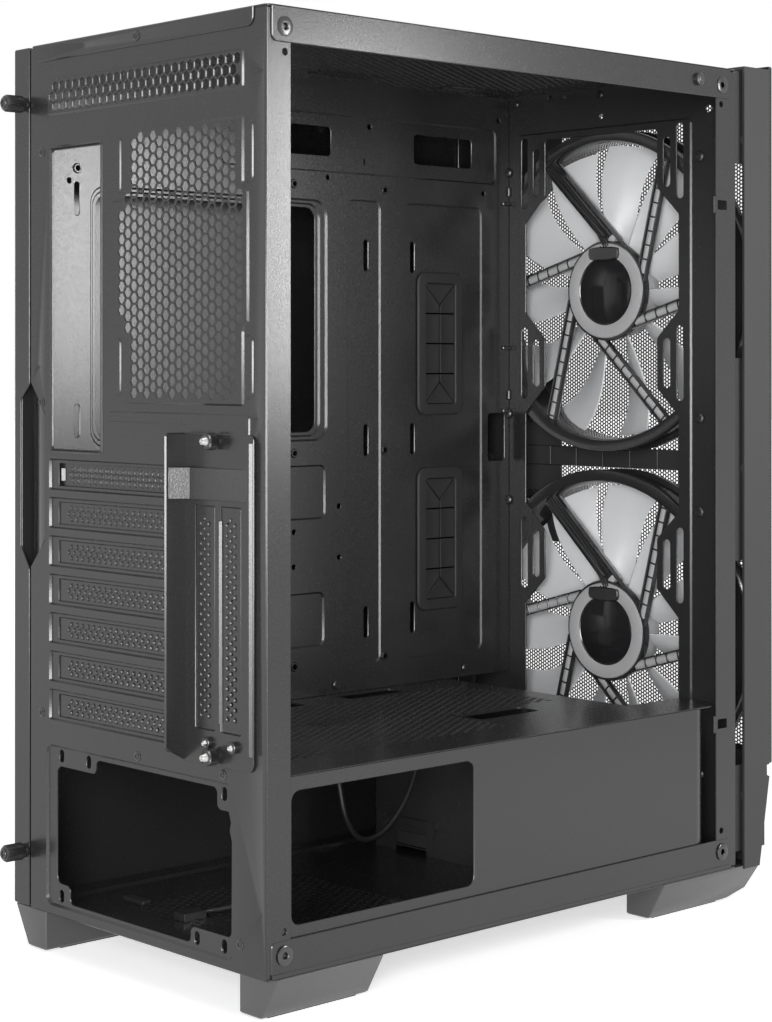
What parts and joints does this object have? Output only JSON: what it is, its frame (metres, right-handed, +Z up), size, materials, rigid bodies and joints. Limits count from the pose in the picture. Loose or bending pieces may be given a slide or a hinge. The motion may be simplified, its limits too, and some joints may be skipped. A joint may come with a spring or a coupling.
{
  "type": "desktop computer tower",
  "caption": "Desktop computer tower: open-sided steel chassis with motherboard tray, power-supply bay, expansion slot covers, large front fans and a pull-off mesh front.",
  "frame": {"origin": "on the ground under the middle of the outline", "axes": "+Z up, -Y towards the mesh front, -X towards the open side, +Y out of the rear face"},
  "size_m": [0.214, 0.406, 0.4886],
  "materials": {
    "painted_steel": "fine matt black powder coat",
    "black_screw": "satin black",
    "zinc_screw": "bright zinc",
    "black_plastic": "fine matt",
    "frosted_plastic": "translucent white",
    "rubber": "matt",
    "cable": "satin sheath",
    "label": "glossy film",
    "board": "satin"
  },
  "bodies": {
    "chassis": {"rear_panel": "painted_steel", "floor_pan": "painted_steel", "roof_panel": "painted_steel", "front_frame": "painted_steel", "motherboard_tray": "painted_steel", "tray_front_wing": "painted_steel", "tray_top_band": "painted_steel", "bay_cover": "painted_steel", "slot_bracket": "painted_steel", "upright_cover_1": "painted_steel", "upright_cover_2": "painted_steel", "upright_cover_screws": "zinc_screw", "slot_cover_1": "painted_steel", "slot_cover_2": "painted_steel", "slot_cover_3": "painted_steel", "slot_cover_4": "painted_steel", "slot_cover_5": "painted_steel", "slot_cover_6": "painted_steel", "slot_cover_7": "painted_steel", "glass_inserts": "black_screw", "locating_pin": "black_screw", "chassis_rivets": "black_screw", "cable_grommet_upper": "rubber", "cable_grommet_lower": "rubber", "tray_screws": "zinc_screw", "foot_rear_left": "black_plastic", "foot_rear_right": "black_plastic", "foot_front_left": "black_plastic", "foot_front_right": "black_plastic", "foot_pads": "rubber", "fan_frame_upper": "black_plastic", "fan_frame_lower": "black_plastic", "fan_label_upper": "label", "fan_label_lower": "label", "fan_lead_upper": "cable", "fan_lead_lower": "cable", "fan_screws": "zinc_screw", "bay_pads": "rubber", "drive_cage": "painted_steel", "socket_board": "board", "usb_sockets": "zinc_screw", "audio_sockets": "black_plastic", "cable_clips": "cable", "front_cable": "cable", "front_cable_plug": "cable"},
    "side_panel": {"right_side_panel": "painted_steel"},
    "panel_screw_upper": {"panel_thumbscrew_upper": "black_screw"},
    "panel_screw_lower": {"panel_thumbscrew_lower": "black_screw"},
    "bracket_screw_upper": {"bracket_thumbscrew_upper": "zinc_screw"},
    "bracket_screw_lower": {"bracket_thumbscrew_lower": "zinc_screw"},
    "rotor_upper": {"fan_rotor_upper": "frosted_plastic"},
    "rotor_lower": {"fan_rotor_lower": "frosted_plastic"},
    "front": {"front_bezel": "black_plastic", "front_mesh": "painted_steel"},
    "power": {"power_button": "black_plastic"},
    "reset": {"reset_button": "black_plastic"},
    "caddy_upper": {"drive_caddy_upper": "black_plastic"},
    "caddy_lower": {"drive_caddy_lower": "black_plastic"}
  },
  "joints": [
    {"name": "side_panel_slide", "type": "slide", "parent": "chassis", "child": "side_panel", "axis": [0, 1, 0], "range_m": [0, 0.012]},
    {"name": "panel_screw_upper_turn", "type": "hinge", "parent": "side_panel", "child": "panel_screw_upper", "pos_m": [0.096, 0.188, 0.453], "axis": [0, 1, 0], "continuous": true},
    {"name": "panel_screw_lower_turn", "type": "hinge", "parent": "side_panel", "child": "panel_screw_lower", "pos_m": [0.096, 0.188, 0.052], "axis": [0, 1, 0], "continuous": true},
    {"name": "bracket_screw_upper_turn", "type": "hinge", "parent": "chassis", "child": "bracket_screw_upper", "pos_m": [-0.0675, 0.189, 0.2764], "axis": [0, 1, 0], "continuous": true},
    {"name": "bracket_screw_lower_turn", "type": "hinge", "parent": "chassis", "child": "bracket_screw_lower", "pos_m": [-0.0675, 0.189, 0.1244], "axis": [0, 1, 0], "continuous": true},
    {"name": "rotor_upper_spin", "type": "hinge", "parent": "chassis", "child": "rotor_upper", "pos_m": [-0.00065, -0.1786, 0.3585], "axis": [0, 1, 0], "continuous": true},
    {"name": "rotor_lower_spin", "type": "hinge", "parent": "chassis", "child": "rotor_lower", "pos_m": [-0.00065, -0.1786, 0.1495], "axis": [0, 1, 0], "continuous": true},
    {"name": "front_pull", "type": "slide", "parent": "chassis", "child": "front", "axis": [0, -1, 0], "range_m": [0, 0.03]},
    {"name": "power_press", "type": "slide", "parent": "front", "child": "power", "axis": [0, 0, -1], "range_m": [0, 0.0015], "stiffness_N_per_m": 900, "springref_m": -0.0004},
    {"name": "reset_press", "type": "slide", "parent": "front", "child": "reset", "axis": [0, 0, -1], "range_m": [0, 0.001], "stiffness_N_per_m": 700, "springref_m": -0.0003},
    {"name": "caddy_upper_slide", "type": "slide", "parent": "chassis", "child": "caddy_upper", "axis": [1, 0, 0], "range_m": [0, 0.02]},
    {"name": "caddy_lower_slide", "type": "slide", "parent": "chassis", "child": "caddy_lower", "axis": [1, 0, 0], "range_m": [0, 0.02]}
  ]
}
